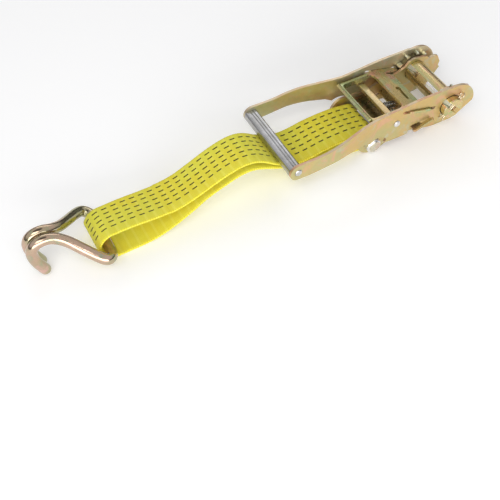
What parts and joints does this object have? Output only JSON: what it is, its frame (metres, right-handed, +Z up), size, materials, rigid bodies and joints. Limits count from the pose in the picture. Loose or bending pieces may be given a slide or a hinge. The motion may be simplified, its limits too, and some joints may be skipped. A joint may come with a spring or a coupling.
{
  "type": "ratchet tie down",
  "caption": "Fixed end of a ratchet tie down: a steel ratchet buckle with a hinged handle and sprung pawls, a doubled woven webbing loop, and a double-J wire hook.",
  "frame": {"origin": "on the floor, at the middle of the bounding box", "axes": "+X from the hook towards the spindle end of the buckle, +Y across the strap, +Z up"},
  "size_m": [0.507, 0.103, 0.0579],
  "materials": {
    "yellow_zinc_sheet": "yellow chromate zinc plate, pressed sheet",
    "yellow_zinc_gear": "yellow chromate zinc plate",
    "yellow_zinc_wire": "yellow chromate zinc plate with a pink and green tint",
    "bright_steel": "bright zinc plate",
    "spring_wire": "drawn wire",
    "yellow_polyester": "woven webbing with black dashed tracer lines"
  },
  "bodies": {
    "frame": {"frame_plate_near": "yellow_zinc_sheet", "frame_plate_far": "yellow_zinc_sheet", "frame_spacer": "yellow_zinc_sheet", "frame_pawl_spring": "spring_wire", "strap_bolt": "yellow_zinc_sheet", "bolt_nut": "yellow_zinc_sheet", "bolt_sleeve": "yellow_zinc_sheet"},
    "handle": {"handle_plate_near": "yellow_zinc_sheet", "handle_plate_far": "yellow_zinc_sheet", "grip_bar": "bright_steel", "grip_pin": "bright_steel", "handle_spacer": "bright_steel", "handle_pawl_spring": "spring_wire"},
    "handle_pawl": {"handle_pawl": "yellow_zinc_sheet"},
    "frame_pawl": {"frame_pawl": "yellow_zinc_sheet"},
    "spindle": {"spindle_half_upper": "yellow_zinc_gear", "spindle_half_lower": "yellow_zinc_gear", "gear_near": "yellow_zinc_gear", "gear_far": "yellow_zinc_gear", "cotter_pin_near": "bright_steel", "cotter_pin_far": "bright_steel"},
    "webbing": {"webbing": "yellow_polyester"},
    "hook": {"hook": "yellow_zinc_wire"}
  },
  "joints": [
    {"name": "handle_hinge", "type": "hinge", "parent": "frame", "child": "handle", "pos_m": [0.21745, 0, 0.033], "axis": [0, 1, 0], "range_deg": [0, 180]},
    {"name": "handle_pawl_slide", "type": "slide", "parent": "handle", "child": "handle_pawl", "axis": [0.9681, 0, -0.2504], "range_m": [-0.006, 0.004], "stiffness_N_per_m": 400, "deforming": ["handle_pawl_spring"]},
    {"name": "frame_pawl_slide", "type": "slide", "parent": "frame", "child": "frame_pawl", "axis": [0.9563, 0, 0.2924], "range_m": [-0.005, 0.004], "stiffness_N_per_m": 400, "deforming": ["frame_pawl_spring"]},
    {"name": "spindle_spin", "type": "hinge", "parent": "frame", "child": "spindle", "pos_m": [0.21745, 0, 0.033], "axis": [0, 1, 0], "continuous": true},
    {"name": "webbing_swing", "type": "hinge", "parent": "frame", "child": "webbing", "pos_m": [0.12285, 0, 0.0125], "axis": [0, 1, 0], "range_deg": [-80, 0]},
    {"name": "hook_swing", "type": "hinge", "parent": "webbing", "child": "hook", "pos_m": [-0.17805, -0.0095, 0.0165], "axis": [0, 1, 0], "range_deg": [-65, 35]}
  ]
}
